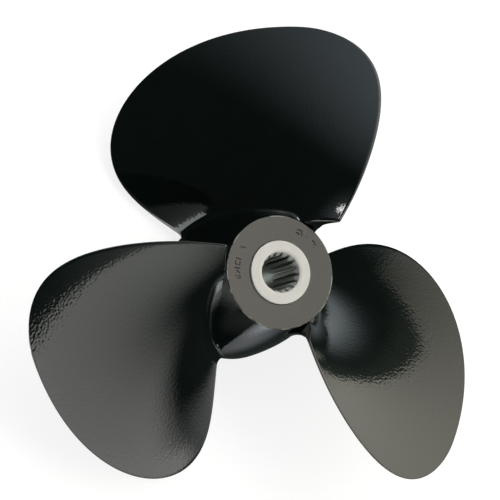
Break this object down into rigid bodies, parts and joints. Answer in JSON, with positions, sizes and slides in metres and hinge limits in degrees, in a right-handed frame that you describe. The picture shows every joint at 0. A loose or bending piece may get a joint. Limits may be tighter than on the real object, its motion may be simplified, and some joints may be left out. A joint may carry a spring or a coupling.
{
  "type": "ship propeller",
  "caption": "Left-hand ship propeller cast in one piece with wide round-eared blades on a tapered hub, painted gloss black, with a splined sleeve held in a rubber bush.",
  "frame": {"origin": "on the shaft axis, in the plane of the hub's forward end", "axes": "+Z along the shaft axis, from the hub's forward end towards its aft face; +Y towards the middle of the first blade"},
  "size_m": [0.3482, 0.3543, 0.1214],
  "materials": {
    "gloss_black_paint_on_cast_aluminium": "gloss black paint over a fine cast skin",
    "black_moulded_rubber": "matt",
    "turned_pale_alloy": "fine turned and broached, satin"
  },
  "bodies": {
    "root": {"propeller_casting": "gloss_black_paint_on_cast_aluminium", "rubber_bush": "black_moulded_rubber", "splined_sleeve": "turned_pale_alloy"}
  },
  "joints": []
}
